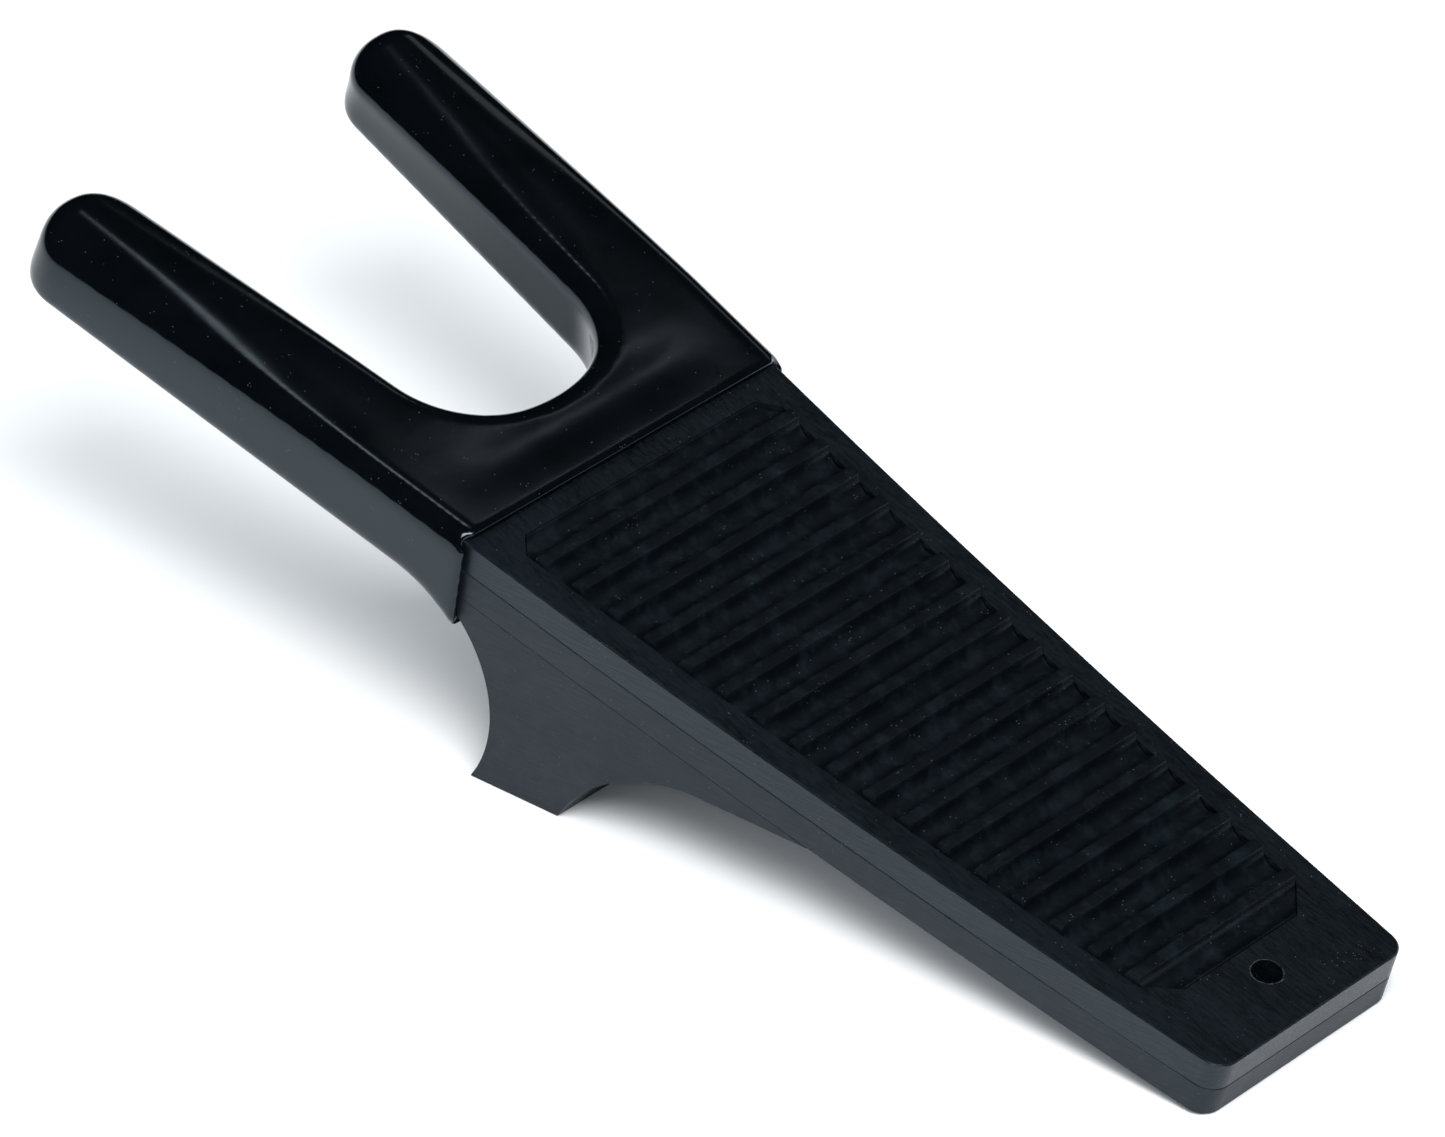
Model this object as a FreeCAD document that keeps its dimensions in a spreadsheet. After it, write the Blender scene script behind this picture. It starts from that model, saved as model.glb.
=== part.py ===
import FreeCAD, Part
import Sketcher
import math
import os

# Boot jack: a two-layer board, slightly bent along its length, whose fork end is dipped in a
# thick cover. A foot block under the board lifts the fork, and a ribbed tread is let into the top.
#
# Frame: +Z up, +X towards the tail, Y across. The jack stands on z = 0 with the tail's lower
# edge and the foot. "Run" is a distance from the tail's upper edge towards the fork.

NODES = "parts"
THROUGH = 200.0

DIMENSIONS = [
    ("tail_x", 164.57, "x of the upper tail edge"),
    ("bend_radius", 2668, "radius of the board's upper face, centre above it"),
    ("tail_slope", 10.87, "slope of the board at the tail, degrees"),
    ("fork_slope", 15.28, "slope where the bend ends and the fork starts, degrees"),
    ("fork_run", 127.5, "straight fork length beyond the bend"),
    ("board_thick", 15.2, "both layers together"),
    ("deck_thick", 7.6, "upper layer"),
    ("end_lean", 0.0286, "how far the tail face leans under, degrees about the bend centre"),
    ("tail_half", 29.6, "half width at the tail"),
    ("side_taper", 0.0926, "half width gained per mm of run"),
    ("tail_corner", 5, "corner radius in plan"),
    ("tip_corner", 7.5, "corner radius of the bare prong tips"),
    ("edge_break", 0.35, "chamfer of the deck's upper edges"),
    ("sole_break", 0.2, "chamfer of the base layer's lower edges"),
    ("seam_chamfer", 0.2, "chamfer of both layers along their seam"),
    ("mouth_run", 340, "run at which the notch is drawn open"),
    ("notch_run", 229.8594, "run of the notch corners"),
    ("notch_half", 27.869, "half width of the notch at its corners"),
    ("mouth_half", 40.3654, "half width of the notch at mouth_run"),
    ("notch_radius", 45.4, "radius of the notch's end"),
    ("notch_corner", 25.2, "corner radius of the notch"),
    ("cover_thick", 2.4, "thickness of the dipped cover"),
    ("dip_run", 1.5, "how far beyond the bend the cover starts on the deck"),
    ("dip_angle", 51.6, "where the cover ends in the foot's hollow, degrees from upright"),
    ("cover_notch_run", 231.15, "run of the covered notch corners"),
    ("cover_notch_half", 25.6, "half width of the covered notch at its corners"),
    ("cover_mouth_half", 37.95, "half width of the covered notch at mouth_run"),
    ("cover_notch_radius", 43, "radius of the covered notch's end"),
    ("cover_notch_corner", 22.8, "corner radius of the covered notch"),
    ("cover_tip_corner", 11, "corner radius of the covered prong tips"),
    ("cover_top_round", 5, "rounding of the cover's upper edges"),
    ("cover_low_round", 2.5, "rounding of the cover's lower edges"),
    ("hollow_radius", 33.3, "hollow of the foot towards the fork"),
    ("hollow_centre", 16.2, "fork length at which the hollow runs into the board"),
    ("nose_angle", 26.3, "where the block's nose is cut off, degrees from upright"),
    ("sole_run", 176.5, "run of the sole's edge nearer the tail"),
    ("arch_run", 137.8, "run at which the block's flat underside starts to curve down"),
    ("arch_radius", 45, "hollow of the foot towards the tail"),
    ("wedge_tip", 107.5, "length along the board from the tail to the block's thin end"),
    ("hole_run", 13.8, "length along the board from the tail to the hanging hole"),
    ("hole_radius", 3.5, "hanging hole"),
    ("tread_half", 22.5, "half width of the tread outline, drawn out to the tail edge"),
    ("tread_taper", 0.0906, "half width of the tread gained per mm of run"),
    ("tread_tail_cut", 6.6, "corner cut of the tread outline towards the tail"),
    ("tread_fork_cut", 4.5, "corner cut of the tread outline towards the fork"),
    ("tread_gap", 0.2, "gap round the tread"),
    ("tread_depth", 2.8, "depth of the recess"),
    ("tread_end", 3.4, "tread length beyond the middle of its end hollows"),
    ("rib_rise", 2, "how far the ribs stand above the deck"),
    ("flute_radius", 3.55, "hollow between two ribs"),
    ("flute_pitch", 10.127, "spacing of the hollows along the board"),
    ("flute_first", 24.75, "length along the board from the tail to the first hollow"),
    ("flute_count", 18, "number of hollows"),
    ("screw_side", 28, "distance of each screw from the middle"),
    ("screw_run", 188.7, "run of the screws"),
    ("screw_radius", 2.2, "shank"),
    ("screw_length", 51, "overall"),
    ("screw_head", 4.4, "head radius"),
    ("screw_sink", 1, "how deep the head sits in the foot's sole"),
    ("screw_drive", 2.2, "side of the square drive"),
    ("screw_play", 0.1, "clearance round the screw in the foot block"),
]

doc = FreeCAD.newDocument("boot_jack")
sheet = doc.addObject("Spreadsheet::Sheet", "dims")
for row, (alias, number, note) in enumerate(DIMENSIONS, start=1):
    sheet.set(f"A{row}", alias)
    sheet.set(f"B{row}", str(number))
    sheet.setAlias(f"B{row}", alias)
    sheet.set(f"C{row}", note)
doc.recompute()

# ---------------------------------------------------------------- expressions of the sheet

TAIL = "(dims.tail_slope * 1deg)"
BEND_END = "(dims.fork_slope * 1deg)"
TAIL_FOOT = "((dims.tail_slope + dims.end_lean) * 1deg)"


def along(length):
    """Angle about the bend centre of a point at this length along the board."""
    return f"((dims.tail_slope + {length} / dims.bend_radius * 180 / pi) * 1deg)"


def on_board(angle, depth, run="0"):
    """Point of the side view at this angle, depth below the deck, and straight run beyond it."""
    radius = f"(dims.bend_radius + {depth})"
    x = (
        f"dims.tail_x + dims.bend_radius * sin({TAIL})"
        f" - {radius} * sin({angle}) - ({run}) * cos({angle})"
    )
    z = (
        f"(dims.bend_radius + dims.board_thick) * cos({TAIL_FOOT})"
        f" - {radius} * cos({angle}) + ({run}) * sin({angle})"
    )
    return x, z


def hollow_centre():
    depth = "(dims.board_thick + dims.hollow_radius)"
    return on_board(BEND_END, depth, "dims.hollow_centre")


def in_hollow(angle, inset="0"):
    """Point on the foot's hollow towards the fork, at this angle from upright."""
    centre_x, centre_z = hollow_centre()
    radius = f"(dims.hollow_radius - {inset})"
    return f"{centre_x} + {radius} * sin({angle})", f"{centre_z} + {radius} * cos({angle})"


def half_width(run, margin="0"):
    return f"(dims.tail_half + dims.side_taper * ({run}) + {margin})"


def at_run(run):
    return f"(dims.tail_x - ({run}))"


def evaluate(expression):
    value = sheet.evalExpression(str(expression))
    return float(getattr(value, "Value", value))


def size(alias):
    return float(sheet.get(alias))


# ---------------------------------------------------------------- sketches and features


def plane_of(body, role):
    return next(f for f in body.Origin.OriginFeatures if f.Role == role)


def new_sketch(body, name, role):
    sketch = body.newObject("Sketcher::SketchObject", name)
    sketch.AttachmentSupport = [(plane_of(body, role), "")]
    sketch.MapMode = "FlatFace"
    return sketch


def arc_between(start, end, radius, left):
    """Short arc from start to end; left says on which side of the chord its centre lies."""
    dx, dy = end[0] - start[0], end[1] - start[1]
    chord = math.hypot(dx, dy)
    reach = math.sqrt(radius**2 - chord**2 / 4)
    side = 1 if left else -1
    centre = (
        (start[0] + end[0]) / 2 - side * reach * dy / chord,
        (start[1] + end[1]) / 2 + side * reach * dx / chord,
    )
    first = math.atan2(start[1] - centre[1], start[0] - centre[0])
    last = math.atan2(end[1] - centre[1], end[0] - centre[0])
    circle = Part.Circle(FreeCAD.Vector(*centre, 0), FreeCAD.Vector(0, 0, 1), radius)
    if left:
        return Part.ArcOfCircle(circle, first, last), 1, 2
    return Part.ArcOfCircle(circle, last, first), 2, 1


def bind(sketch, constraint, expression):
    index = sketch.addConstraint(constraint)
    sketch.setExpression(f"Constraints[{index}]", expression)


def add_outline(sketch, corners, arcs=None):
    """Closed outline. corners are pairs of expressions; arcs maps an edge's number to its radius
    expression and the side of its centre. Every corner and radius is bound to the sheet."""
    arcs = arcs or {}
    points = [(evaluate(x), evaluate(y)) for x, y in corners]
    edges = []
    for number, start in enumerate(points):
        end = points[(number + 1) % len(points)]
        if number in arcs:
            radius, left = arcs[number]
            shape, head, tail = arc_between(start, end, evaluate(radius), left)
            index = sketch.addGeometry(shape, False)
            bind(sketch, Sketcher.Constraint("Radius", index, evaluate(radius)), radius)
        else:
            shape = Part.LineSegment(FreeCAD.Vector(*start, 0), FreeCAD.Vector(*end, 0))
            index, head, tail = sketch.addGeometry(shape, False), 1, 2
        edges.append((index, head, tail))
    for number, (index, head, tail) in enumerate(edges):
        following, next_head, _ = edges[(number + 1) % len(edges)]
        sketch.addConstraint(Sketcher.Constraint("Coincident", index, tail, following, next_head))
        (x, y), (u, v) = corners[number], points[number]
        bind(sketch, Sketcher.Constraint("DistanceX", -1, 1, index, head, u), x)
        bind(sketch, Sketcher.Constraint("DistanceY", -1, 1, index, head, v), y)


def side_pad(body, corners, arcs=None):
    """Solid with this side view, wider than the object."""
    sketch = new_sketch(body, body.Name + "_side", "XZ_Plane")
    add_outline(sketch, corners, arcs)
    pad = body.newObject("PartDesign::Pad", body.Name + "_pad")
    pad.Profile = sketch
    pad.Length = THROUGH
    pad.Midplane = True
    sketch.Visibility = False
    doc.recompute()
    return pad


def trim_to_plan(body, corners, arcs=None):
    """Cut away everything outside this plan outline."""
    before = body.Shape.Volume
    sketch = new_sketch(body, body.Name + "_plan", "XY_Plane")
    reach = str(THROUGH * 2)
    frame = [(f"-{reach}", f"-{reach}"), (reach, f"-{reach}"), (reach, reach), (f"-{reach}", reach)]
    add_outline(sketch, frame)
    add_outline(sketch, corners, arcs)
    pocket = body.newObject("PartDesign::Pocket", body.Name + "_trim")
    pocket.Profile = sketch
    pocket.Type = "ThroughAll"
    pocket.Midplane = True
    doc.recompute()
    if not 0 < body.Shape.Volume < before:
        raise RuntimeError(f"{body.Name}: the plan trim cut nothing")


def edge_names(shape, test):
    return [f"Edge{i}" for i, edge in enumerate(shape.Edges, start=1) if test(edge)]


def dress(body, kind, suffix, property_name, alias, test):
    """Fillet or chamfer on the edges of the body's tip that pass the test."""
    base = body.Tip
    names = edge_names(base.Shape, test)
    if not names:
        raise RuntimeError(f"{body.Name}{suffix}: no edges found")
    feature = body.newObject(f"PartDesign::{kind}", body.Name + suffix)
    feature.Base = (base, names)
    feature.setExpression(property_name, f"dims.{alias}")
    doc.recompute()
    return feature


def is_upright(edge):
    """Straight edge that runs mostly up, as the corners in plan do."""
    if not isinstance(edge.Curve, Part.Line):
        return False
    return abs(edge.tangentAt(edge.FirstParameter).z) > 0.8


def run_of(point):
    return size("tail_x") - point.x


def upright_between(first, last):
    return lambda edge: is_upright(edge) and first < run_of(edge.CenterOfMass) < last


def board_depth(point):
    """Depth of a point below the deck's upper face."""
    radius = size("bend_radius")
    fork = math.radians(size("fork_slope"))
    centre_x, centre_z = BEND_CENTRE
    dx, dz = centre_x - point.x, centre_z - point.z
    if math.atan2(dx, dz) <= fork:
        return math.hypot(dx, dz) - radius
    return dx * math.sin(fork) + dz * math.cos(fork) - radius


def rim_at(depth):
    """Test for the edges round a face that lies at this depth; its bend line is left out."""

    def test(edge):
        first, last = edge.ParameterRange
        points = [edge.valueAt(first + part * (last - first)) for part in (0, 0.37, 1)]
        if any(abs(board_depth(point) - depth) > 0.02 for point in points):
            return False
        across = max(p.x for p in points) - min(p.x for p in points) < 0.01
        middle = run_of(points[1])
        return not (across and BEND_RUN - 2 < middle < BEND_RUN + 25)

    return test


def cut(label, base, tools):
    """base minus the tools one after another, as the named sub-part."""
    result = base
    for number, tool in enumerate(tools, start=1):
        last = number == len(tools)
        step = doc.addObject("Part::Cut", label if last else f"{label}_step{number}")
        step.Base = result
        step.Tool = tool
        doc.recompute()
        result = step
    result.Label = label
    return result


BEND_CENTRE = tuple(evaluate(e) for e in on_board(BEND_END, "-dims.bend_radius"))
BEND_RUN = size("tail_x") - evaluate(on_board(BEND_END, "0")[0])

# ---------------------------------------------------------------- board, two layers


def layer_side(top, bottom):
    """Side view of one layer of the board, and its arcs."""
    tail_top = f"(dims.tail_slope * 1deg + dims.end_lean * {top} / dims.board_thick * 1deg)"
    tail_low = f"(dims.tail_slope * 1deg + dims.end_lean * {bottom} / dims.board_thick * 1deg)"
    corners = [
        on_board(tail_top, top),
        on_board(BEND_END, top),
        on_board(BEND_END, top, "dims.fork_run"),
        on_board(BEND_END, bottom, "dims.fork_run"),
        on_board(BEND_END, bottom),
        on_board(tail_low, bottom),
    ]
    arcs = {
        0: (f"(dims.bend_radius + {top})", False),
        4: (f"(dims.bend_radius + {bottom})", True),
    }
    return corners, arcs


def fork_plan(margin, notch_run, notch_half, mouth_half, radius):
    """Plan outline with the notch between the prongs, and its one arc."""
    tail = "-20"
    mouth = "dims.mouth_run"
    side = half_width(mouth, margin)
    tail_side = half_width(tail, margin)
    corners = [
        (at_run(tail), f"-{tail_side}"),
        (at_run(tail), tail_side),
        (at_run(mouth), side),
        (at_run(mouth), mouth_half),
        (at_run(notch_run), notch_half),
        (at_run(notch_run), f"-{notch_half}"),
        (at_run(mouth), f"-{mouth_half}"),
        (at_run(mouth), f"-{side}"),
    ]
    return corners, {4: (radius, False)}


def make_layer(name, top, bottom):
    body = doc.addObject("PartDesign::Body", name)
    side_pad(body, *layer_side(top, bottom))
    plan = fork_plan("0", "dims.notch_run", "dims.notch_half", "dims.mouth_half", "dims.notch_radius")
    trim_to_plan(body, *plan)
    dress(body, "Fillet", "_tail", "Radius", "tail_corner", upright_between(-5, 10))
    dress(body, "Fillet", "_tips", "Radius", "tip_corner", upright_between(300, 340))
    notch = size("notch_run")
    dress(body, "Fillet", "_notch", "Radius", "notch_corner", upright_between(notch - 5, notch + 5))
    return body


deck = make_layer("deck", "0", "dims.deck_thick")
dress(deck, "Chamfer", "_edge", "Size", "edge_break", rim_at(0))
dress(deck, "Chamfer", "_seam", "Size", "seam_chamfer", rim_at(size("deck_thick")))

base = make_layer("base", "dims.deck_thick", "dims.board_thick")
dress(base, "Chamfer", "_edge", "Size", "sole_break", rim_at(size("board_thick")))
dress(base, "Chamfer", "_seam", "Size", "seam_chamfer", rim_at(size("deck_thick")))

core = make_layer("core", "0", "dims.board_thick")

# ---------------------------------------------------------------- foot block

LOW_BEND_X = on_board(BEND_END, "dims.board_thick")[0]
BEND_RUN_TEXT = f"(dims.tail_x - ({LOW_BEND_X}))"


def foot_side():
    """Side view of the wedge, the foot and its nose under the fork."""
    centre_x, centre_z = hollow_centre()
    tip = on_board(along("dims.wedge_tip"), "dims.board_thick")
    nose = in_hollow("(dims.nose_angle * 1deg)")
    nose_run = f"(({at_run('0')} - ({nose[0]})) - {BEND_RUN_TEXT}) / cos({BEND_END})"
    corners = [
        tip,
        on_board(BEND_END, "dims.board_thick"),
        on_board(BEND_END, "dims.board_thick", nose_run),
        nose,
        (f"{centre_x} + sqrt(dims.hollow_radius ^ 2 - ({centre_z}) ^ 2)", "0"),
        (at_run("dims.sole_run"), "0"),
        (at_run("dims.arch_run"), tip[1]),
    ]
    arcs = {
        0: ("(dims.bend_radius + dims.board_thick)", False),
        3: ("dims.hollow_radius", False),
        5: ("dims.arch_radius", False),
    }
    return corners, arcs


foot = doc.addObject("PartDesign::Body", "foot")
side_pad(foot, *foot_side())
ends = ("-20", "dims.mouth_run")
foot_plan = [(at_run(run), f"{sign}{half_width(run)}") for run in ends for sign in "-+"]
trim_to_plan(foot, [foot_plan[0], foot_plan[1], foot_plan[3], foot_plan[2]])

# ---------------------------------------------------------------- dipped cover of the fork


def cover_side():
    depth = "(dims.board_thick + dims.cover_thick)"
    reach = "(dims.fork_run + dims.cover_thick)"
    corners = [
        on_board(BEND_END, "-dims.cover_thick", "dims.dip_run"),
        on_board(BEND_END, "-dims.cover_thick", reach),
        on_board(BEND_END, depth, reach),
        on_board(BEND_END, depth, "dims.hollow_centre"),
        in_hollow("(dims.dip_angle * 1deg)", "dims.cover_thick"),
    ]
    return corners, {3: ("(dims.hollow_radius - dims.cover_thick)", False)}


sleeve = doc.addObject("PartDesign::Body", "sleeve")
side_pad(sleeve, *cover_side())
sleeve_plan = fork_plan(
    "dims.cover_thick",
    "dims.cover_notch_run",
    "dims.cover_notch_half",
    "dims.cover_mouth_half",
    "dims.cover_notch_radius",
)
trim_to_plan(sleeve, *sleeve_plan)
dress(sleeve, "Fillet", "_tips", "Radius", "cover_tip_corner", upright_between(300, 345))
dress(sleeve, "Fillet", "_notch", "Radius", "cover_notch_corner", upright_between(228, 240))
dress(sleeve, "Fillet", "_top", "Radius", "cover_top_round", rim_at(-size("cover_thick")))


def on_lower_rim(edge):
    """Edges round the cover's underside, and along the hollow it runs into."""
    if rim_at(size("board_thick") + size("cover_thick"))(edge):
        return True
    middle = edge.valueAt((edge.FirstParameter + edge.LastParameter) / 2)
    inside = math.hypot(middle.x - HOLLOW[0], middle.z - HOLLOW[1])
    along_arc = abs(inside - size("hollow_radius") + size("cover_thick")) < 0.02
    return along_arc and edge.Vertexes[0].Point.y * edge.Vertexes[-1].Point.y > 0


HOLLOW = tuple(evaluate(e) for e in hollow_centre())
dress(sleeve, "Fillet", "_low", "Radius", "cover_low_round", on_lower_rim)

# ---------------------------------------------------------------- ribbed tread


def tread_plan(first_x, last_x, gap):
    """Plan outline with cut corners between the two ends, grown by the gap."""

    def edge_y(x, cut_back):
        run = f"(dims.tail_x - ({x}))"
        return f"(dims.tread_half + dims.tread_taper * {run} + {gap} - {cut_back})"

    tail, fork = "dims.tread_tail_cut", "dims.tread_fork_cut"
    half = [
        (first_x, edge_y(first_x, tail)),
        (f"({first_x}) - {tail}", edge_y(f"({first_x}) - {tail}", "0")),
        (f"({last_x}) + {fork}", edge_y(f"({last_x}) + {fork}", "0")),
        (last_x, edge_y(last_x, fork)),
    ]
    return half + [(x, f"-{y}") for x, y in reversed(half)]


LAST_FLUTE = "(dims.flute_first + (dims.flute_count - 1) * dims.flute_pitch)"
TREAD_TAIL = along("(dims.flute_first - dims.tread_end)")
TREAD_FORK = along(f"({LAST_FLUTE} + dims.tread_end)")
TREAD_TAIL_X = on_board(TREAD_TAIL, "0")[0]
TREAD_FORK_X = on_board(TREAD_FORK, "0")[0]


def tread_side():
    """Side view: low ends, and the band between the end hollows that becomes the ribs."""
    first, last = along("dims.flute_first"), along(LAST_FLUTE)
    corners = [
        on_board(along("2"), "dims.tread_depth"),
        on_board(along("2"), "0"),
        on_board(first, "0"),
        on_board(first, "-dims.rib_rise"),
        on_board(last, "-dims.rib_rise"),
        on_board(last, "0"),
        on_board(BEND_END, "0"),
        on_board(BEND_END, "dims.tread_depth"),
    ]
    arcs = {
        1: ("dims.bend_radius", False),
        3: ("(dims.bend_radius - dims.rib_rise)", False),
        5: ("dims.bend_radius", False),
        7: ("(dims.bend_radius + dims.tread_depth)", True),
    }
    return corners, arcs


def recess_side():
    corners = [
        on_board(along("2"), "dims.tread_depth"),
        on_board(along("2"), "-2"),
        on_board(BEND_END, "-2"),
        on_board(BEND_END, "dims.tread_depth"),
    ]
    arcs = {
        1: ("(dims.bend_radius - 2)", False),
        3: ("(dims.bend_radius + dims.tread_depth)", True),
    }
    return corners, arcs


def cut_flutes(body):
    """Round hollows across the tread, repeated about the bend's centre."""
    centre_x, centre_z = on_board(BEND_END, "-dims.bend_radius")
    sketch = new_sketch(body, "flute", "XZ_Plane")
    sketch.setExpression("AttachmentOffset.Base.x", centre_x)
    sketch.setExpression("AttachmentOffset.Base.y", centre_z)
    doc.recompute()
    angle = along("dims.flute_first")
    local = [f"-(dims.bend_radius - dims.rib_rise) * {turn}({angle})" for turn in ("sin", "cos")]
    x, z = (evaluate(e) for e in local)
    circle = Part.Circle(FreeCAD.Vector(x, z, 0), FreeCAD.Vector(0, 0, 1), size("flute_radius"))
    index = sketch.addGeometry(circle, False)
    bind(sketch, Sketcher.Constraint("Radius", index, size("flute_radius")), "dims.flute_radius")
    bind(sketch, Sketcher.Constraint("DistanceX", -1, 1, index, 3, x), local[0])
    bind(sketch, Sketcher.Constraint("DistanceY", -1, 1, index, 3, z), local[1])
    pocket = body.newObject("PartDesign::Pocket", "flute_cut")
    pocket.Profile = sketch
    pocket.Type = "ThroughAll"
    pocket.Midplane = True
    doc.recompute()
    pattern = body.newObject("PartDesign::PolarPattern", "flutes")
    pattern.Originals = [pocket]
    pattern.Axis = (sketch, ["N_Axis"])
    pattern.Mode = "Spacing"
    pattern.Reversed = True
    pattern.setExpression("Offset", "dims.flute_pitch / dims.bend_radius * 180 / pi * 1deg")
    pattern.setExpression("Occurrences", "dims.flute_count")
    body.Tip = pattern
    doc.recompute()


tread = doc.addObject("PartDesign::Body", "tread_insert")
side_pad(tread, *tread_side())
cut_flutes(tread)
trim_to_plan(tread, tread_plan(TREAD_TAIL_X, TREAD_FORK_X, "0"))
tread.Label = "tread_insert"

recess = doc.addObject("PartDesign::Body", "tread_recess")
side_pad(recess, *recess_side())
grown_tail = f"{TREAD_TAIL_X} + dims.tread_gap"
grown_fork = f"{TREAD_FORK_X} - dims.tread_gap"
trim_to_plan(recess, tread_plan(grown_tail, grown_fork, "dims.tread_gap"))

# ---------------------------------------------------------------- hanging hole

hole = doc.addObject("Part::Cylinder", "hanging_hole")
hole.setExpression("Radius", "dims.hole_radius")
hole.setExpression("Height", "dims.board_thick * 3")
hole_x, hole_z = on_board(along("dims.hole_run"), "dims.board_thick * 2")
hole.Placement.Rotation = FreeCAD.Rotation(FreeCAD.Vector(0, 1, 0), 1)
hole.setExpression("Placement.Rotation.Angle", along("dims.hole_run"))
hole.setExpression("Placement.Base.x", hole_x)
hole.setExpression("Placement.Base.z", hole_z)
doc.recompute()

# ---------------------------------------------------------------- screws


def screw_profile(play):
    """Half section of a countersunk screw standing on its head, grown by the play."""
    neck = f"(dims.screw_sink + dims.screw_head - dims.screw_radius)"
    point = "(dims.screw_sink + dims.screw_length)"
    shank = f"(dims.screw_radius + {play})"
    head = f"(dims.screw_head + {play})"
    return neck, point, shank, head


def screw_body(name, corners):
    body = doc.addObject("PartDesign::Body", name)
    sketch = new_sketch(body, name + "_half", "XZ_Plane")
    add_outline(sketch, corners)
    turn = body.newObject("PartDesign::Revolution", name + "_turn")
    turn.Profile = sketch
    turn.ReferenceAxis = (sketch, ["V_Axis"])
    turn.Angle = 360
    doc.recompute()
    return body


def placed_pair(name, body):
    """The body on both sides of the jack, at the screws' run."""
    body.setExpression("Placement.Base.x", at_run("dims.screw_run"))
    body.setExpression("Placement.Base.y", "dims.screw_side")
    doc.recompute()
    mirror = doc.addObject("Part::Mirroring", name + "_mirror")
    mirror.Source = body
    mirror.Normal = FreeCAD.Vector(0, 1, 0)
    pair = doc.addObject("Part::Compound", name)
    pair.Links = [body, mirror]
    pair.Label = name
    doc.recompute()
    return pair


neck, point, shank, head = screw_profile("0")
screw = screw_body(
    "screw",
    [
        ("0", "dims.screw_sink"),
        (head, "dims.screw_sink"),
        (shank, neck),
        (shank, f"{point} - 3"),
        ("0", point),
    ],
)
drive = new_sketch(screw, "drive", "XY_Plane")
drive.setExpression("AttachmentOffset.Base.z", "dims.screw_sink")
doc.recompute()
side = "dims.screw_drive / 2"
corner_signs = [("-", "-"), ("", "-"), ("", ""), ("-", "")]
add_outline(drive, [(f"{a}({side})", f"{b}({side})") for a, b in corner_signs])
socket = screw.newObject("PartDesign::Pocket", "socket")
socket.Profile = drive
socket.Length = 2
socket.Reversed = True
doc.recompute()
foot_screws = placed_pair("foot_screws", screw)

neck, point, shank, head = screw_profile("dims.screw_play")
seat = screw_body(
    "seat",
    [("0", "-1"), (head, "-1"), (head, "dims.screw_sink"), (shank, neck), (shank, "60"), ("0", "60")],
)
seats = placed_pair("screw_seats", seat)

# ---------------------------------------------------------------- finished pieces

deck_board = cut("deck_board", deck, [recess, hole, foot_screws])
base_board = cut("base_board", base, [hole, foot_screws])
foot_block = cut("foot_block", foot, [seats])
fork_cover = cut("fork_cover", sleeve, [core, foot])
pieces = [deck_board, base_board, foot_block, fork_cover, tread, foot_screws]


def check_document():
    for item in doc.Objects:
        broken = {"Invalid", "Error"} & set(item.State)
        shape = getattr(item, "Shape", None)
        if broken or (shape is not None and shape.isNull()):
            raise RuntimeError(f"{item.Label}: not computed")
    for piece in pieces:
        expected = 2 if piece is foot_screws else 1
        if len(piece.Shape.Solids) != expected or not piece.Shape.isValid():
            raise RuntimeError(f"{piece.Label}: {len(piece.Shape.Solids)} solids")


check_document()
os.makedirs(NODES, exist_ok=True)
for piece in pieces:
    piece.Shape.exportStep(f"{NODES}/{piece.Label}.step")
    box = piece.Shape.BoundBox
    print(piece.Label, round(piece.Shape.Volume), round(box.XMin, 2), round(box.XMax, 2))
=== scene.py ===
import math
import random

import bmesh
import bpy
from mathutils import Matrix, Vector, noise


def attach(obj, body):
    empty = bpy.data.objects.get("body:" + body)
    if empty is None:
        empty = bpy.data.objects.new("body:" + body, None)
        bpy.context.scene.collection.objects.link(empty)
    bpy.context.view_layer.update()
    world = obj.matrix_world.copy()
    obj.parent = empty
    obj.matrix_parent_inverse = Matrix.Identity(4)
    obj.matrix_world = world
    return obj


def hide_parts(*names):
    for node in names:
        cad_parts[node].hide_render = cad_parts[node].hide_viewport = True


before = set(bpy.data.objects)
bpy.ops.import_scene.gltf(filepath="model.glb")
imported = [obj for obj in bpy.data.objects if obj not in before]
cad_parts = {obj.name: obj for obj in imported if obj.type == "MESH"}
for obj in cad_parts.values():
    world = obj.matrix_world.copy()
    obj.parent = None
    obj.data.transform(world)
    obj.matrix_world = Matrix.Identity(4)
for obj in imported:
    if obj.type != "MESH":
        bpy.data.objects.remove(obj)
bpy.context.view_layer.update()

random.seed(7)
MM = 0.001

# The same numbers as the model's own driving dimensions, in mm and degrees.
TAIL_X = 164.57
TAIL_HALF = 29.6
SIDE_TAPER = 0.0926
BEND = 2668.0
THICK = 15.2
COVER = 2.4
TAIL = math.radians(10.87)
TAIL_FOOT = math.radians(10.87 + 0.0286)
FORK = math.radians(15.28)
CENTRE_X = TAIL_X + BEND * math.sin(TAIL)
CENTRE_Z = (BEND + THICK) * math.cos(TAIL_FOOT)
HOLLOW_R = 33.3
HOLLOW_CENTRE = 16.2
DIP_RUN = 1.5
DIP_ANGLE = math.radians(51.6)
DECK_THICK = 7.6
HOLE_RUN = 13.8
TREAD_DEPTH = 2.8
TREAD_END = 3.4

# The dipped cover: its notch, and the shape its prongs have in Blender only, in mm.
NOTCH_RUN = 231.15
NOTCH_HALF = 25.6
NOTCH_TAPER = 0.11346
LIP = 0.9
LIP_BELOW = 3.4
CROWN = 5.0
PRONG_HALF = 12.0
SPINE_END = 317.5
ROUND_FROM = 228.0
ROUND_OVER = 102.0


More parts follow.
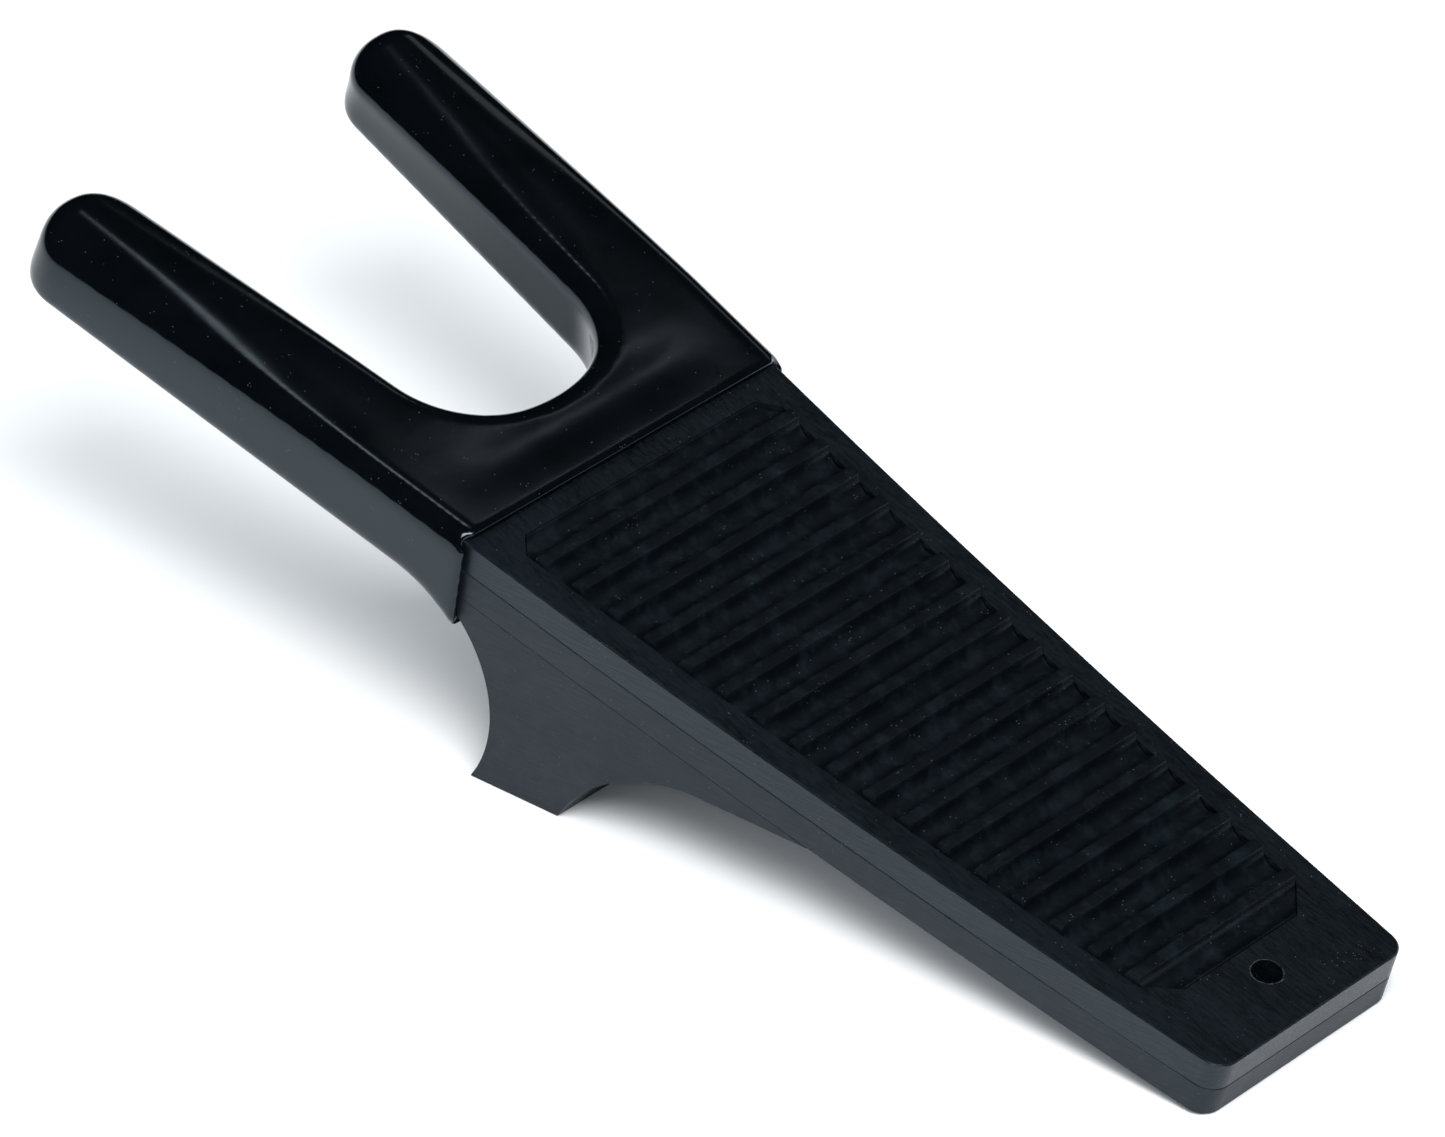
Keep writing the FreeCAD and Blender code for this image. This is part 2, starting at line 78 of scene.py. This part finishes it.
def on_board(angle, depth, run=0.0):
    """(x, z) in mm at this angle about the bend's centre, or beyond the bend by the run."""
    radius = BEND + depth
    x = CENTRE_X - radius * math.sin(angle) - run * math.cos(angle)
    z = CENTRE_Z - radius * math.cos(angle) + run * math.sin(angle)
    return x, z


def along(length):
    """Angle about the bend's centre at this length from the tail."""
    return TAIL + length / BEND


def half_width(x):
    return TAIL_HALF + SIDE_TAPER * (TAIL_X - x)


# ---------------------------------------------------------------- meshes


def new_object(name, verts, faces, body="root", smooth=True):
    mesh = bpy.data.meshes.new(name)
    mesh.from_pydata([Vector(v) * MM for v in verts], [], faces)
    mesh.validate()
    piece = bpy.data.objects.new(name, mesh)
    bpy.context.scene.collection.objects.link(piece)
    for polygon in mesh.polygons:
        polygon.use_smooth = smooth
    if body:
        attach(piece, body)
    return piece


def apply_modifiers(piece):
    bpy.context.view_layer.update()
    graph = bpy.context.evaluated_depsgraph_get()
    mesh = bpy.data.meshes.new_from_object(piece.evaluated_get(graph))
    piece.modifiers.clear()
    old = piece.data
    piece.data = mesh
    bpy.data.meshes.remove(old)


def tube(path, radii, sides=12):
    """Closed tube along points in mm, with one radius for each point."""
    verts, faces = [], []
    points = [Vector(p) for p in path]
    normal = None
    for i, point in enumerate(points):
        ahead = points[min(i + 1, len(points) - 1)] - points[max(i - 1, 0)]
        ahead.normalize()
        if normal is None:
            normal = ahead.orthogonal().normalized()
        normal = (normal - ahead * normal.dot(ahead)).normalized()
        other = ahead.cross(normal)
        for k in range(sides):
            turn = 2 * math.pi * k / sides
            verts.append(point + (normal * math.cos(turn) + other * math.sin(turn)) * radii[i])
    for i in range(len(points) - 1):
        for k in range(sides):
            a, b = i * sides + k, i * sides + (k + 1) % sides
            faces.append((a, b, b + sides, a + sides))
    faces.append(tuple(reversed(range(sides))))
    faces.append(tuple(range((len(points) - 1) * sides, len(points) * sides)))
    return verts, faces


# ---------------------------------------------------------------- materials


DUST = (0.12, 0.13, 0.14)


class Nodes:
    """Short hand for building one material."""

    def __init__(self, name, tint=(0.66, 0.84, 1.0)):
        self.material = bpy.data.materials.new(name)
        self.material.use_nodes = True
        self.tree = self.material.node_tree
        self.shader = self.tree.nodes["Principled BSDF"]
        self.shader.inputs["Specular Tint"].default_value = (*tint, 1)
        self.place = self.tree.nodes.new("ShaderNodeTexCoord").outputs["Object"]

    def node(self, kind, **values):
        made = self.tree.nodes.new(kind)
        for key, value in values.items():
            if hasattr(made, key):
                setattr(made, key, value)
            else:
                made.inputs[key.replace("_", " ")].default_value = value
        return made

    def join(self, out, into):
        self.tree.links.new(out, into)

    def stretched(self, scale):
        mapping = self.node("ShaderNodeMapping")
        mapping.inputs["Scale"].default_value = scale
        self.join(self.place, mapping.inputs["Vector"])
        return mapping.outputs["Vector"]

    def noise(self, scale, detail=4.0, roughness=0.6, place=None):
        made = self.node("ShaderNodeTexNoise", Scale=scale, Detail=detail, Roughness=roughness)
        self.join(place or self.place, made.inputs["Vector"])
        return made.outputs["Fac"]

    def ramp(self, value, stops):
        made = self.node("ShaderNodeValToRGB")
        elements = made.color_ramp.elements
        while len(elements) < len(stops):
            elements.new(0.5)
        for element, (position, level) in zip(elements, stops):
            element.position = position
            element.color = (level, level, level, 1) if isinstance(level, float) else (*level, 1)
        self.join(value, made.inputs["Fac"])
        return made.outputs["Color"]

    def mix(self, factor, first, second):
        made = self.node("ShaderNodeMix", data_type="RGBA")
        for index, value in ((0, factor), (6, first), (7, second)):
            if isinstance(value, tuple):
                made.inputs[index].default_value = (*value, 1)
            elif isinstance(value, float):
                made.inputs[index].default_value = value
            else:
                self.join(value, made.inputs[index])
        return made.outputs[2]

    def math(self, operation, *values):
        made = self.node("ShaderNodeMath", operation=operation)
        for index, value in enumerate(values):
            if isinstance(value, (int, float)):
                made.inputs[index].default_value = value
            else:
                self.join(value, made.inputs[index])
        return made.outputs[0]

    def bump(self, height, distance, strength=1.0, below=None):
        made = self.node("ShaderNodeBump", Strength=strength, Distance=distance)
        self.join(height, made.inputs["Height"])
        if below:
            self.join(below, made.inputs["Normal"])
        return made.outputs["Normal"]

    def finish(self, colour, roughness, normal=None):
        self.join(colour, self.shader.inputs["Base Color"])
        self.join(roughness, self.shader.inputs["Roughness"])
        if normal:
            self.join(normal, self.shader.inputs["Normal"])
        return self.material


def specks(nodes, scale, size):
    """Small light dust specks: 1 inside a speck."""
    made = nodes.node("ShaderNodeTexVoronoi", Scale=scale)
    nodes.join(nodes.place, made.inputs["Vector"])
    near = nodes.math("LESS_THAN", made.outputs["Distance"], size)
    picked = nodes.math("GREATER_THAN", nodes.noise(scale * 0.31, 1.0), 0.6)
    return nodes.math("MULTIPLY", near, picked)


def moulded(name, dark, light, rough_low, rough_high, streak, dust, sheen_strength):
    """Moulded dark surface with fine lengthwise streaks, paler patches of painted sheen, mottling and
    dust.
    """
    nodes = Nodes(name)
    fine = nodes.noise(1.0, 5.0, 0.65, nodes.stretched((40, 1300, 1300)))
    broad = nodes.noise(1.0, 3.0, 0.5, nodes.stretched((18, 140, 140)))
    grain = nodes.noise(2600.0, 2.0)
    mottle = nodes.noise(55.0, 3.0)
    streaks = nodes.math("MULTIPLY_ADD", fine, 0.6 * streak, nodes.math("MULTIPLY", broad, 0.4))
    shade = nodes.ramp(streaks, [(0.42, 0.0), (0.68, 1.0)])
    colour = nodes.mix(shade, dark, light)
    # paler patches: a painted sheen, highlight painted into the colour; paler is the painted highlight
    # colour
    sheen_clouds = nodes.ramp(nodes.noise(190.0, 5.0, 0.7), [(0.48, 0.0), (0.78, 1.0)])
    paler = tuple(level * 2.2 for level in light)
    colour = nodes.mix(nodes.math("MULTIPLY", sheen_clouds, sheen_strength), colour, paler)
    colour = nodes.mix(nodes.math("MULTIPLY", specks(nodes, 900.0, 0.13), dust), colour, DUST)
    rough = nodes.math("MULTIPLY_ADD", mottle, rough_high - rough_low, rough_low)
    rough = nodes.math("MULTIPLY_ADD", streaks, 0.12 * streak, rough)
    lines = nodes.bump(fine, 0.00012 * streak, 0.8)
    normal = nodes.bump(grain, 0.00003, 0.5, lines)
    nodes.shader.inputs["Specular IOR Level"].default_value = 0.42
    return nodes.finish(colour, rough, normal)


def dipped(name):
    """Glossy dipped coating with faint ripples, specks and rubbed patches."""
    nodes = Nodes(name)
    ripple = nodes.noise(90.0, 2.0, 0.4)
    pits = nodes.noise(900.0, 2.0)
    rubbed = nodes.ramp(nodes.noise(60.0, 4.0), [(0.35, 0.0), (0.8, 1.0)])
    colour = nodes.mix(rubbed, (0.0012, 0.0018, 0.0024), (0.002, 0.003, 0.004))
    colour = nodes.mix(nodes.math("MULTIPLY", specks(nodes, 900.0, 0.12), 0.4), colour, DUST)
    rough = nodes.math("MULTIPLY_ADD", rubbed, 0.03, 0.11)
    rough = nodes.math("MULTIPLY_ADD", pits, 0.02, rough)
    normal = nodes.bump(ripple, 0.0001, 0.4)
    normal = nodes.bump(pits, 0.000008, 0.3, normal)
    return nodes.finish(colour, rough, normal)


def metal(name):
    nodes = Nodes(name)
    rings = nodes.noise(1.0, 3.0, 0.5, nodes.stretched((900, 900, 90)))
    colour = nodes.mix(rings, (0.36, 0.36, 0.37), (0.6, 0.6, 0.6))
    rough = nodes.math("MULTIPLY_ADD", rings, 0.25, 0.22)
    nodes.shader.inputs["Metallic"].default_value = 1.0
    return nodes.finish(colour, rough, nodes.bump(rings, 0.00004))


def burr(name):
    nodes = Nodes(name)
    patches = nodes.noise(1200.0, 3.0)
    paler = nodes.ramp(patches, [(0.35, 0.0), (0.65, 1.0)])
    colour = nodes.mix(paler, (0.003, 0.004, 0.005), (0.04, 0.044, 0.048))
    rough = nodes.math("MULTIPLY_ADD", patches, 0.3, 0.4)
    return nodes.finish(colour, rough, nodes.bump(patches, 0.0001))


# dark and light colour, lowest and highest roughness, then how strong the streaks, dust and painted
# sheen patches are
DECK = moulded(
    "deck_moulded", (0.0005, 0.0012, 0.0022), (0.0042, 0.0066, 0.0088), 0.19, 0.32, 1.3, 0.4, 0.1
)
# base and block: the deck's moulded black painted lighter, standing in for the light on the sides; their
# streaks are the surface's own
BASE_LIT_SIDES = moulded(
    "base_moulded_lit_sides", (0.0026, 0.004, 0.0055), (0.0105, 0.013, 0.0155), 0.38, 0.5, 0.9, 0.35, 0.2
)
BLOCK_LIT_SIDES = moulded(
    "block_moulded_lit_sides", (0.003, 0.0045, 0.006), (0.0095, 0.012, 0.0145), 0.4, 0.55, 0.8, 0.35, 0.3
)
TREAD = moulded(
    "tread_moulded", (0.0008, 0.0018, 0.003), (0.004, 0.0068, 0.0092), 0.34, 0.5, 0.3, 0.4, 0.6
)
DIPPED = dipped("dipped_coating")
METAL = metal("screw_metal")
BURR = burr("burr_pale")


def paint(piece, material):
    piece.data.materials.clear()
    piece.data.materials.append(material)


for node, material in (
    ("base_board", BASE_LIT_SIDES),
    ("foot_block", BLOCK_LIT_SIDES),
    ("foot_screws", METAL),
):
    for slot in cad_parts[node].material_slots:
        slot.material = material

# ---------------------------------------------------------------- dipped cover


def dip_edge():
    """Where the cover's edge starts on the deck and ends in the foot's hollow, as (x, z) in mm."""
    top = on_board(FORK, -COVER, DIP_RUN)
    centre = on_board(FORK, THICK + HOLLOW_R, HOLLOW_CENTRE)
    radius = HOLLOW_R - COVER
    low = (centre[0] + radius * math.sin(DIP_ANGLE), centre[1] + radius * math.cos(DIP_ANGLE))
    return top, low


def lip_paths():
    """The rolled edge of the cover: over the deck and down both cheeks."""
    top, low = dip_edge()
    steps = 60
    inner = half_width(top[0]) + COVER - LIP_BELOW
    for side in (1, -1):
        over = [(top[0] + LIP * 0.3, side * inner * i / steps, top[1] - LIP) for i in range(steps + 1)]
        down = []
        for i in range(steps + 1):
            part = i / steps
            x = top[0] + (low[0] - top[0]) * part
            z = top[1] - LIP_BELOW + (low[1] + 2.5 - top[1] + LIP_BELOW) * part
            down.append((x + LIP * 0.3, side * (half_width(x) + COVER - LIP), z))
        yield over
        yield down


def notch_half(run):
    return NOTCH_HALF + NOTCH_TAPER * (run - NOTCH_RUN)


def from_spine(x, y):
    """How far out a point lies from the middle line of its prong, in mm, and that line's y."""
    run = TAIL_X - x
    spine_run = min(run, SPINE_END)
    spine_y = (half_width(TAIL_X - spine_run) + COVER + notch_half(spine_run)) / 2
    return math.hypot(abs(y) - spine_y, run - spine_run), spine_y


def rounding(x):
    """0 where the prongs start, 1 at their tips."""
    return min(max((TAIL_X - x - ROUND_FROM) / ROUND_OVER, 0.0), 1.0)


def crown(x, y):
    """How far the cover's upper face drops away from the middle of each prong, in mm."""
    off = from_spine(x, y)[0] / PRONG_HALF
    return CROWN * rounding(x) ** 1.4 * off**2 / (1.0 + 0.1 * off**4)


def ripples(x, y):
    """Slow unevenness of the dipped skin, with a puddle in front of the notch, in mm."""
    slow = noise.noise(Vector((x / 45.0, y / 22.0, 3.1))) * 0.1
    run = TAIL_X - x
    puddle = math.exp(-(((run - 212.0) / 6.5) ** 2) - (abs(y) / 34.0) ** 4)
    return slow + 0.32 * puddle


def fork_depth(x, z):
    """Depth below the deck's plane on the straight fork, in mm."""
    dx, dz = CENTRE_X - x, CENTRE_Z - z
    return dx * math.sin(FORK) + dz * math.cos(FORK) - BEND


def make_cover():
    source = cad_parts["fork_cover"]
    piece = bpy.data.objects.new("dipped_cover", source.data.copy())
    bpy.context.scene.collection.objects.link(piece)
    bm = bmesh.new()
    bm.from_mesh(piece.data)
    for path in lip_paths():
        verts, faces = tube(path, [LIP] * len(path), 10)
        made = [bm.verts.new(Vector(v) * MM) for v in verts]
        for face in faces:
            bm.faces.new([made[i] for i in face])
    bm.to_mesh(piece.data)
    bm.free()
    remesh = piece.modifiers.new("remesh", "REMESH")
    remesh.mode = "VOXEL"
    remesh.voxel_size = 0.6 * MM
    smooth = piece.modifiers.new("smooth", "SMOOTH")
    smooth.factor = 0.5
    smooth.iterations = 26
    apply_modifiers(piece)
    # the crown of the prongs, their softer shoulders, and the slow ripples of a dipped skin
    for vertex in piece.data.vertices:
        x, y, z = vertex.co / MM
        depth = fork_depth(x, z)
        reach = 8.0 + 5.0 * rounding(x)
        if depth > reach:
            continue
        share = min((reach - depth) / (reach + 2.4), 1.0)
        out, spine_y = from_spine(x, y)
        inward = min(1.5 * rounding(x) * share * share * out / PRONG_HALF, out)
        if spine_y > abs(y):
            inward = -inward
        vertex.co.y -= math.copysign(inward, y) * MM
        vertex.co.z -= share * (crown(x, y) + 0.14 + ripples(x, y)) * MM
    for polygon in piece.data.polygons:
        polygon.use_smooth = True
    paint(piece, DIPPED)
    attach(piece, "root")
    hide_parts("fork_cover")


make_cover()


def make_deck():
    """A copy of the deck, whose hidden fork is trimmed to stay under the rounded prongs of the cover."""
    rows, columns = 60, 65
    step, clear, height = 2.0, 1.2, 60.0
    verts, faces = [], []
    for level in (0, 1):
        for i in range(rows):
            for k in range(columns):
                x = TAIL_X - 226.0 - step * i
                y = -64.0 + step * k
                top = on_board(FORK, 0.0)
                shoulder = min((from_spine(x, y)[0] / PRONG_HALF) ** 2, 1.5)
                drop = crown(x, y) + 5.0 * rounding(x) * shoulder
                plane = top[1] + (top[0] - x) * math.tan(FORK)
                z = plane + clear - drop + height * level
                verts.append((x, y, z))
    high = rows * columns
    for i in range(rows - 1):
        for k in range(columns - 1):
            a = i * columns + k
            faces.append((a, a + 1, a + columns + 1, a + columns))
            faces.append((high + a, high + a + columns, high + a + columns + 1, high + a + 1))
    for i in range(rows - 1):
        a, b = i * columns, i * columns + columns - 1
        faces.append((a, a + columns, high + a + columns, high + a))
        faces.append((b + columns, b, high + b, high + b + columns))
    for k in range(columns - 1):
        a, b = k, (rows - 1) * columns + k
        faces.append((a + 1, a, high + a, high + a + 1))
        faces.append((b, b + 1, high + b + 1, high + b))
    cutter = new_object("deck_trim", verts, faces, body=None, smooth=False)
    cutter.data.flip_normals()  # the faces above are wound inwards
    piece = bpy.data.objects.new("trimmed_deck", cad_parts["deck_board"].data.copy())
    bpy.context.scene.collection.objects.link(piece)
    trim = piece.modifiers.new("trim", "BOOLEAN")
    trim.operation = "DIFFERENCE"
    trim.solver = "EXACT"
    trim.object = cutter
    split = piece.modifiers.new("split", "EDGE_SPLIT")
    split.split_angle = math.radians(25)
    apply_modifiers(piece)
    bpy.data.objects.remove(cutter)
    paint(piece, DECK)
    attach(piece, "root")
    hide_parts("deck_board")


make_deck()

# ---------------------------------------------------------------- ribbed tread

PITCH = 10.127
FIRST = 24.75
FLUTE = 3.55
RISE = 2.0
FLUTES = 18
END_SHOULDER = 1.0


def tread_profile():
    """(length along the board, height over the deck) with small rounded rib edges."""
    round_edge = 0.35
    profile = [(FIRST - TREAD_END, -TREAD_DEPTH), (FIRST - TREAD_END, 0.0)]
    for i in range(FLUTES):
        middle = FIRST + i * PITCH
        low = math.asin(RISE / FLUTE)
        start = -math.pi + (low if i == 0 else 0.1)
        end = -low if i == FLUTES - 1 else -0.1
        if i > 0:
            profile.append((middle - FLUTE - round_edge, RISE))
            profile.append((middle - FLUTE - round_edge * 0.35, RISE - round_edge * 0.2))
        for k in range(17):
            turn = start + (end - start) * k / 16
            profile.append((middle + FLUTE * math.cos(turn), RISE + FLUTE * math.sin(turn)))
        if i < FLUTES - 1:
            profile.append((middle + FLUTE + round_edge * 0.35, RISE - round_edge * 0.2))
            profile.append((middle + FLUTE + round_edge, RISE))
            profile.append((middle + PITCH / 2, RISE))
    last = FIRST + (FLUTES - 1) * PITCH + TREAD_END
    profile += [(last, 0.0), (last, -TREAD_DEPTH)]
    return profile


def tread_half(x, first_x, last_x):
    full = 22.5 + 0.0906 * (TAIL_X - x)
    tail_cut = 6.6 - (first_x - x)
    fork_cut = 4.5 - (x - last_x)
    return full - max(tail_cut, fork_cut, 0.0)


def make_tread():
    profile = tread_profile()
    first_x = on_board(along(profile[0][0]), 0)[0]
    last_x = on_board(along(profile[-1][0]), 0)[0]
    verts, faces = [], []
    columns = 15
    for length, height in profile:
        x, z = on_board(along(length), -height)
        shoulder_x, shoulder_z = on_board(along(length), -min(height, END_SHOULDER))
        half = tread_half(x, first_x, last_x)
        inset = max(height - END_SHOULDER, 0.0) * 0.7
        verts.append((shoulder_x, -half, shoulder_z))
        for k in range(columns - 2):
            part = k / (columns - 3)
            verts.append((x, -half + inset + (2 * half - inset - 0.1) * part, z))
        verts.append((shoulder_x, half, shoulder_z))
    count = len(profile)
    for i in range(count - 1):
        for k in range(columns - 1):
            a = i * columns + k
            faces.append((a, a + 1, a + columns + 1, a + columns))
    # side walls down to the recess, and the underside
    under = len(verts)
    for length, height in profile:
        x, z = on_board(along(length), TREAD_DEPTH)
        half = tread_half(x, first_x, last_x)
        verts.append((x, -half, z))
        verts.append((x, half, z))
    for i in range(count - 1):
        low = under + 2 * i
        left, right = i * columns, i * columns + columns - 1
        faces.append((left, left + columns, low + 2, low))
        faces.append((right + columns, right, low + 1, low + 3))
        if i == 0:
            faces.append(tuple(range(columns)) + (low + 3, low + 2))
        elif i == count - 2:
            faces.append((low, low + 1) + tuple(reversed(range(right + 1, right + 1 + columns))))
        else:
            faces.append((low, low + 2, low + 3, low + 1))
    piece = new_object("ribbed_tread", verts, faces)
    bm = bmesh.new()
    bm.from_mesh(piece.data)
    bmesh.ops.remove_doubles(bm, verts=bm.verts, dist=0.00002)
    bmesh.ops.recalc_face_normals(bm, faces=bm.faces)
    bm.to_mesh(piece.data)
    bm.free()
    piece.data.set_sharp_from_angle(angle=math.radians(35))
    paint(piece, TREAD)
    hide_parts("tread_insert")


make_tread()

# ---------------------------------------------------------------- glue in the seams


def make_glue():
    """Beads of glue that nearly fill the seams between the layers, with a few gaps."""
    bm = bmesh.new()
    # depth below the deck, then the lengths from the tail where the beads start and end
    seams = ((DECK_THICK, 9.0, 205.0), (THICK, 112.0, 205.0))
    for depth, first, last in seams:
        for side in (1, -1):
            length = first
            while length < last:
                reach = min(length + random.uniform(9.0, 34.0), last)
                path = []
                for i in range(9):
                    x, z = on_board(along(length + (reach - length) * i / 8), depth)
                    path.append((x, side * (half_width(x) - 0.17), z))
                verts, faces = tube(path, [0.16] * 9, 8)
                made = [bm.verts.new(Vector(v) * MM) for v in verts]
                for face in faces:
                    bm.faces.new([made[i] for i in face])
                length = reach + random.uniform(0.2, 2.2)
    piece = new_object("seam_glue", [], [])
    bm.to_mesh(piece.data)
    bm.free()
    paint(piece, BASE_LIT_SIDES)


make_glue()

# ---------------------------------------------------------------- burr round the hanging hole


def make_burr():
    """A thin uneven rim where the hole was drilled."""
    angle = along(HOLE_RUN)
    x, z = on_board(angle, 0)
    up = Vector((math.sin(angle), 0, math.cos(angle)))
    ahead = Vector((math.cos(angle), 0, -math.sin(angle)))
    path, radii = [], []
    for i in range(73):
        turn = 2 * math.pi * i / 72
        reach = 3.62 + 0.06 * math.sin(3 * turn + 1) + 0.04 * math.sin(7 * turn)
        out = ahead * math.cos(turn) + Vector((0, 1, 0)) * math.sin(turn)
        path.append(Vector((x, 0, z)) + out * reach + up * 0.02)
        radii.append(0.12 + 0.06 * math.sin(2 * turn + 0.6) + 0.03 * math.sin(9 * turn))
    verts, faces = tube(path, radii, 8)
    piece = new_object("hole_burr", verts, faces)
    paint(piece, BURR)


make_burr()

# ---------------------------------------------------------------- stage


def make_floor():
    size = 6000.0
    verts = [(-size, -size, 0), (size, -size, 0), (size, size, 0), (-size, size, 0)]
    floor = new_object("floor", verts, [(0, 1, 2, 3)], body=None, smooth=False)
    floor.location.z = -0.0002
    nodes = Nodes("floor_paper", (1.0, 1.0, 1.0))
    soft = nodes.noise(3.0, 2.0)
    colour = nodes.mix(soft, (0.9, 0.905, 0.91), (0.92, 0.925, 0.93))
    rough = nodes.math("MULTIPLY_ADD", nodes.noise(30.0), 0.1, 0.75)
    nodes.shader.inputs["Specular IOR Level"].default_value = 0.1
    paint(floor, nodes.finish(colour, rough))


def area_light(name, place, aim, size, power, tint=(1, 1, 1), glossy=True):
    data = bpy.data.lights.new(name, "AREA")
    data.shape = "RECTANGLE"
    data.size, data.size_y = size
    data.energy = power
    data.color = tint
    lamp = bpy.data.objects.new(name, data)
    lamp.location = place
    lamp.visible_glossy = glossy
    lamp.rotation_euler = (Vector(aim) - Vector(place)).to_track_quat("-Z", "Y").to_euler()
    bpy.context.scene.collection.objects.link(lamp)


def make_camera():
    yaw, pitch, distance = -0.76165, 0.60365, 2.07905
    target = Vector((TAIL_X * MM - 0.15987, -0.01148, 0.05583))
    ahead = Vector((math.sin(yaw) * math.cos(pitch), math.cos(yaw) * math.cos(pitch), -math.sin(pitch)))
    data = bpy.data.cameras.new("photo_view")
    data.sensor_width = 36.0
    data.lens = 241.31
    camera = bpy.data.objects.new("photo_view", data)
    camera.location = target - ahead * distance
    turn = ahead.to_track_quat("-Z", "Y")
    camera.rotation_euler = turn.to_euler()
    bpy.context.scene.collection.objects.link(camera)
    bpy.context.scene.camera = camera


def make_world():
    """Pale surroundings on every side, which the glossy black surfaces don't mirror."""
    world = bpy.data.worlds.new("studio")
    world.use_nodes = True
    room = world.node_tree.nodes["Background"]
    room.inputs["Color"].default_value = (0.9, 0.96, 1.0, 1)
    room.inputs["Strength"].default_value = 0.7
    world.cycles_visibility.glossy = False
    bpy.context.scene.world = world


make_floor()
make_camera()
make_world()
area_light("key_box", (0.91, -0.64, 1.66), (0.0, 0, 0.03), (0.95, 0.95), 40)
area_light("ridge_box", (-0.46, 0.7, 1.93), (-0.11, 0, 0.09), (0.2, 0.2), 0.4)
area_light("back_box", (-0.56, 1.72, 1.04), (0, 0, 0.06), (0.7, 0.32), 0.3)
area_light("streak_box", (-0.444, 1.185, 1.63), (-0.046, -0.005, 0.072), (0.022, 0.1), 0.016)
area_light("patch_box", (-0.47, 1.13, 1.66), (-0.05, -0.035, 0.072), (0.08, 0.05), 0.014)
area_light("near_fill", (0.4, -1.9, 0.95), (0, 0, 0), (1.6, 1.0), 4, (0.8, 0.92, 1.0), glossy=False)
bpy.context.scene.view_settings.view_transform = "Standard"
